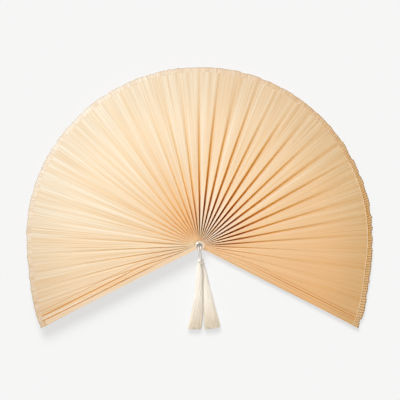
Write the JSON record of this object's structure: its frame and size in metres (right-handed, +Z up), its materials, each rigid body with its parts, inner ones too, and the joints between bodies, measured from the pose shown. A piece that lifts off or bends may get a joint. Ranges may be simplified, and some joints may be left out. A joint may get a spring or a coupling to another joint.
{
  "type": "folding hand fan",
  "caption": "Open folding hand fan: bamboo ribs between two guards on a hollow rivet, a pleated splint leaf with a bound rim, and cream tassels on a cord.",
  "frame": {"origin": "centre of the rivet's flat back, on the surface that the open fan lies on", "axes": "+Z up the rivet towards the viewer, +Y from the rivet to the middle of the leaf, +X to the viewer's right"},
  "size_m": [0.4452, 0.3367, 0.0249],
  "materials": {
    "bamboo": "split and shaved bamboo, satin",
    "splint_leaf": "fine bamboo splints laid side by side, matt",
    "binding_tape": "overcast cotton tape",
    "plated_steel": "nickel plated",
    "cotton_yarn": "soft twisted yarn"
  },
  "bodies": {
    "rear_guard": {"guard_rear": "bamboo", "rivet_post": "plated_steel", "rear_washer": "plated_steel", "spacer": "bamboo", "front_washer": "plated_steel", "rivet_ring": "plated_steel", "leaf": "splint_leaf", "rim_binding": "binding_tape"},
    "front_guard": {"guard_front": "bamboo"},
    "rib_01": {"rib_01": "bamboo"},
    "rib_02": {"rib_02": "bamboo"},
    "rib_03": {"rib_03": "bamboo"},
    "rib_04": {"rib_04": "bamboo"},
    "rib_05": {"rib_05": "bamboo"},
    "rib_06": {"rib_06": "bamboo"},
    "rib_07": {"rib_07": "bamboo"},
    "rib_08": {"rib_08": "bamboo"},
    "rib_09": {"rib_09": "bamboo"},
    "rib_10": {"rib_10": "bamboo"},
    "rib_11": {"rib_11": "bamboo"},
    "rib_12": {"rib_12": "bamboo"},
    "rib_13": {"rib_13": "bamboo"},
    "rib_14": {"rib_14": "bamboo"},
    "rib_15": {"rib_15": "bamboo"},
    "rib_16": {"rib_16": "bamboo"},
    "rib_17": {"rib_17": "bamboo"},
    "rib_18": {"rib_18": "bamboo"},
    "rib_19": {"rib_19": "bamboo"},
    "rib_20": {"rib_20": "bamboo"},
    "rib_21": {"rib_21": "bamboo"},
    "rib_22": {"rib_22": "bamboo"},
    "rib_23": {"rib_23": "bamboo"},
    "rib_24": {"rib_24": "bamboo"},
    "rib_25": {"rib_25": "bamboo"},
    "rib_26": {"rib_26": "bamboo"},
    "rib_27": {"rib_27": "bamboo"},
    "rib_28": {"rib_28": "bamboo"},
    "rib_29": {"rib_29": "bamboo"},
    "rib_30": {"rib_30": "bamboo"},
    "rib_31": {"rib_31": "bamboo"},
    "rib_32": {"rib_32": "bamboo"},
    "rib_33": {"rib_33": "bamboo"},
    "rib_34": {"rib_34": "bamboo"},
    "rib_35": {"rib_35": "bamboo"},
    "rib_36": {"rib_36": "bamboo"},
    "tassel_left": {"tassel_cord_left": "cotton_yarn", "tassel_knob_left": "cotton_yarn", "tassel_collar_left": "cotton_yarn", "tassel_skirt_left": "cotton_yarn"},
    "tassel_right": {"tassel_cord_right": "cotton_yarn", "tassel_knob_right": "cotton_yarn", "tassel_collar_right": "cotton_yarn", "tassel_skirt_right": "cotton_yarn"}
  },
  "joints": [
    {"name": "fan_fold", "type": "hinge", "parent": "rear_guard", "child": "front_guard", "pos_m": [0, 0, 0], "axis": [0, 0, -1], "range_deg": [0, 224.2], "deforming": ["leaf", "rim_binding"]},
    {"name": "rib_01_fold", "type": "hinge", "parent": "rear_guard", "child": "rib_01", "pos_m": [0, 0, 0], "axis": [0, 0, -1], "range_deg": [0, 3.91]},
    {"name": "rib_02_fold", "type": "hinge", "parent": "rear_guard", "child": "rib_02", "pos_m": [0, 0, 0], "axis": [0, 0, -1], "range_deg": [0, 8.65]},
    {"name": "rib_03_fold", "type": "hinge", "parent": "rear_guard", "child": "rib_03", "pos_m": [0, 0, 0], "axis": [0, 0, -1], "range_deg": [0, 13.97]},
    {"name": "rib_04_fold", "type": "hinge", "parent": "rear_guard", "child": "rib_04", "pos_m": [0, 0, 0], "axis": [0, 0, -1], "range_deg": [0, 19.67]},
    {"name": "rib_05_fold", "type": "hinge", "parent": "rear_guard", "child": "rib_05", "pos_m": [0, 0, 0], "axis": [0, 0, -1], "range_deg": [0, 25.63]},
    {"name": "rib_06_fold", "type": "hinge", "parent": "rear_guard", "child": "rib_06", "pos_m": [0, 0, 0], "axis": [0, 0, -1], "range_deg": [0, 31.77]},
    {"name": "rib_07_fold", "type": "hinge", "parent": "rear_guard", "child": "rib_07", "pos_m": [0, 0, 0], "axis": [0, 0, -1], "range_deg": [0, 38.02]},
    {"name": "rib_08_fold", "type": "hinge", "parent": "rear_guard", "child": "rib_08", "pos_m": [0, 0, 0], "axis": [0, 0, -1], "range_deg": [0, 44.34]},
    {"name": "rib_09_fold", "type": "hinge", "parent": "rear_guard", "child": "rib_09", "pos_m": [0, 0, 0], "axis": [0, 0, -1], "range_deg": [0, 50.72]},
    {"name": "rib_10_fold", "type": "hinge", "parent": "rear_guard", "child": "rib_10", "pos_m": [0, 0, 0], "axis": [0, 0, -1], "range_deg": [0, 57.14]},
    {"name": "rib_11_fold", "type": "hinge", "parent": "rear_guard", "child": "rib_11", "pos_m": [0, 0, 0], "axis": [0, 0, -1], "range_deg": [0, 63.57]},
    {"name": "rib_12_fold", "type": "hinge", "parent": "rear_guard", "child": "rib_12", "pos_m": [0, 0, 0], "axis": [0, 0, -1], "range_deg": [0, 70.03]},
    {"name": "rib_13_fold", "type": "hinge", "parent": "rear_guard", "child": "rib_13", "pos_m": [0, 0, 0], "axis": [0, 0, -1], "range_deg": [0, 76.49]},
    {"name": "rib_14_fold", "type": "hinge", "parent": "rear_guard", "child": "rib_14", "pos_m": [0, 0, 0], "axis": [0, 0, -1], "range_deg": [0, 82.96]},
    {"name": "rib_15_fold", "type": "hinge", "parent": "rear_guard", "child": "rib_15", "pos_m": [0, 0, 0], "axis": [0, 0, -1], "range_deg": [0, 89.43]},
    {"name": "rib_16_fold", "type": "hinge", "parent": "rear_guard", "child": "rib_16", "pos_m": [0, 0, 0], "axis": [0, 0, -1], "range_deg": [0, 95.91]},
    {"name": "rib_17_fold", "type": "hinge", "parent": "rear_guard", "child": "rib_17", "pos_m": [0, 0, 0], "axis": [0, 0, -1], "range_deg": [0, 102.39]},
    {"name": "rib_18_fold", "type": "hinge", "parent": "rear_guard", "child": "rib_18", "pos_m": [0, 0, 0], "axis": [0, 0, -1], "range_deg": [0, 108.87]},
    {"name": "rib_19_fold", "type": "hinge", "parent": "rear_guard", "child": "rib_19", "pos_m": [0, 0, 0], "axis": [0, 0, -1], "range_deg": [0, 115.36]},
    {"name": "rib_20_fold", "type": "hinge", "parent": "rear_guard", "child": "rib_20", "pos_m": [0, 0, 0], "axis": [0, 0, -1], "range_deg": [0, 121.84]},
    {"name": "rib_21_fold", "type": "hinge", "parent": "rear_guard", "child": "rib_21", "pos_m": [0, 0, 0], "axis": [0, 0, -1], "range_deg": [0, 128.32]},
    {"name": "rib_22_fold", "type": "hinge", "parent": "rear_guard", "child": "rib_22", "pos_m": [0, 0, 0], "axis": [0, 0, -1], "range_deg": [0, 134.8]},
    {"name": "rib_23_fold", "type": "hinge", "parent": "rear_guard", "child": "rib_23", "pos_m": [0, 0, 0], "axis": [0, 0, -1], "range_deg": [0, 141.27]},
    {"name": "rib_24_fold", "type": "hinge", "parent": "rear_guard", "child": "rib_24", "pos_m": [0, 0, 0], "axis": [0, 0, -1], "range_deg": [0, 147.74]},
    {"name": "rib_25_fold", "type": "hinge", "parent": "rear_guard", "child": "rib_25", "pos_m": [0, 0, 0], "axis": [0, 0, -1], "range_deg": [0, 154.2]},
    {"name": "rib_26_fold", "type": "hinge", "parent": "rear_guard", "child": "rib_26", "pos_m": [0, 0, 0], "axis": [0, 0, -1], "range_deg": [0, 160.66]},
    {"name": "rib_27_fold", "type": "hinge", "parent": "rear_guard", "child": "rib_27", "pos_m": [0, 0, 0], "axis": [0, 0, -1], "range_deg": [0, 167.09]},
    {"name": "rib_28_fold", "type": "hinge", "parent": "rear_guard", "child": "rib_28", "pos_m": [0, 0, 0], "axis": [0, 0, -1], "range_deg": [0, 173.51]},
    {"name": "rib_29_fold", "type": "hinge", "parent": "rear_guard", "child": "rib_29", "pos_m": [0, 0, 0], "axis": [0, 0, -1], "range_deg": [0, 179.89]},
    {"name": "rib_30_fold", "type": "hinge", "parent": "rear_guard", "child": "rib_30", "pos_m": [0, 0, 0], "axis": [0, 0, -1], "range_deg": [0, 186.21]},
    {"name": "rib_31_fold", "type": "hinge", "parent": "rear_guard", "child": "rib_31", "pos_m": [0, 0, 0], "axis": [0, 0, -1], "range_deg": [0, 192.46]},
    {"name": "rib_32_fold", "type": "hinge", "parent": "rear_guard", "child": "rib_32", "pos_m": [0, 0, 0], "axis": [0, 0, -1], "range_deg": [0, 198.6]},
    {"name": "rib_33_fold", "type": "hinge", "parent": "rear_guard", "child": "rib_33", "pos_m": [0, 0, 0], "axis": [0, 0, -1], "range_deg": [0, 204.56]},
    {"name": "rib_34_fold", "type": "hinge", "parent": "rear_guard", "child": "rib_34", "pos_m": [0, 0, 0], "axis": [0, 0, -1], "range_deg": [0, 210.26]},
    {"name": "rib_35_fold", "type": "hinge", "parent": "rear_guard", "child": "rib_35", "pos_m": [0, 0, 0], "axis": [0, 0, -1], "range_deg": [0, 215.58]},
    {"name": "rib_36_fold", "type": "hinge", "parent": "rear_guard", "child": "rib_36", "pos_m": [0, 0, 0], "axis": [0, 0, -1], "range_deg": [0, 220.32]},
    {"name": "tassel_left_swing", "type": "hinge", "parent": "rear_guard", "child": "tassel_left", "pos_m": [0, 0, 0.02], "axis": [0, 0, 1], "range_deg": [-30, 0]},
    {"name": "tassel_right_swing", "type": "hinge", "parent": "rear_guard", "child": "tassel_right", "pos_m": [0, 0, 0.02], "axis": [0, 0, 1], "range_deg": [0, 30]}
  ],
  "couplings": [
    {"joint": "rib_01_fold", "follows": "fan_fold", "ratio": 0.017354},
    {"joint": "rib_02_fold", "follows": "fan_fold", "ratio": 0.038521},
    {"joint": "rib_03_fold", "follows": "fan_fold", "ratio": 0.062246},
    {"joint": "rib_04_fold", "follows": "fan_fold", "ratio": 0.087684},
    {"joint": "rib_05_fold", "follows": "fan_fold", "ratio": 0.11427},
    {"joint": "rib_06_fold", "follows": "fan_fold", "ratio": 0.14163},
    {"joint": "rib_07_fold", "follows": "fan_fold", "ratio": 0.1695},
    {"joint": "rib_08_fold", "follows": "fan_fold", "ratio": 0.19772},
    {"joint": "rib_09_fold", "follows": "fan_fold", "ratio": 0.22617},
    {"joint": "rib_10_fold", "follows": "fan_fold", "ratio": 0.25478},
    {"joint": "rib_11_fold", "follows": "fan_fold", "ratio": 0.28349},
    {"joint": "rib_12_fold", "follows": "fan_fold", "ratio": 0.31227},
    {"joint": "rib_13_fold", "follows": "fan_fold", "ratio": 0.3411},
    {"joint": "rib_14_fold", "follows": "fan_fold", "ratio": 0.36996},
    {"joint": "rib_15_fold", "follows": "fan_fold", "ratio": 0.39884},
    {"joint": "rib_16_fold", "follows": "fan_fold", "ratio": 0.42773},
    {"joint": "rib_17_fold", "follows": "fan_fold", "ratio": 0.45663},
    {"joint": "rib_18_fold", "follows": "fan_fold", "ratio": 0.48554},
    {"joint": "rib_19_fold", "follows": "fan_fold", "ratio": 0.51446},
    {"joint": "rib_20_fold", "follows": "fan_fold", "ratio": 0.54337},
    {"joint": "rib_21_fold", "follows": "fan_fold", "ratio": 0.57227},
    {"joint": "rib_22_fold", "follows": "fan_fold", "ratio": 0.60116},
    {"joint": "rib_23_fold", "follows": "fan_fold", "ratio": 0.63004},
    {"joint": "rib_24_fold", "follows": "fan_fold", "ratio": 0.6589},
    {"joint": "rib_25_fold", "follows": "fan_fold", "ratio": 0.68773},
    {"joint": "rib_26_fold", "follows": "fan_fold", "ratio": 0.71651},
    {"joint": "rib_27_fold", "follows": "fan_fold", "ratio": 0.74522},
    {"joint": "rib_28_fold", "follows": "fan_fold", "ratio": 0.77383},
    {"joint": "rib_29_fold", "follows": "fan_fold", "ratio": 0.80228},
    {"joint": "rib_30_fold", "follows": "fan_fold", "ratio": 0.8305},
    {"joint": "rib_31_fold", "follows": "fan_fold", "ratio": 0.85837},
    {"joint": "rib_32_fold", "follows": "fan_fold", "ratio": 0.88573},
    {"joint": "rib_33_fold", "follows": "fan_fold", "ratio": 0.91232},
    {"joint": "rib_34_fold", "follows": "fan_fold", "ratio": 0.93775},
    {"joint": "rib_35_fold", "follows": "fan_fold", "ratio": 0.96148},
    {"joint": "rib_36_fold", "follows": "fan_fold", "ratio": 0.98265}
  ]
}
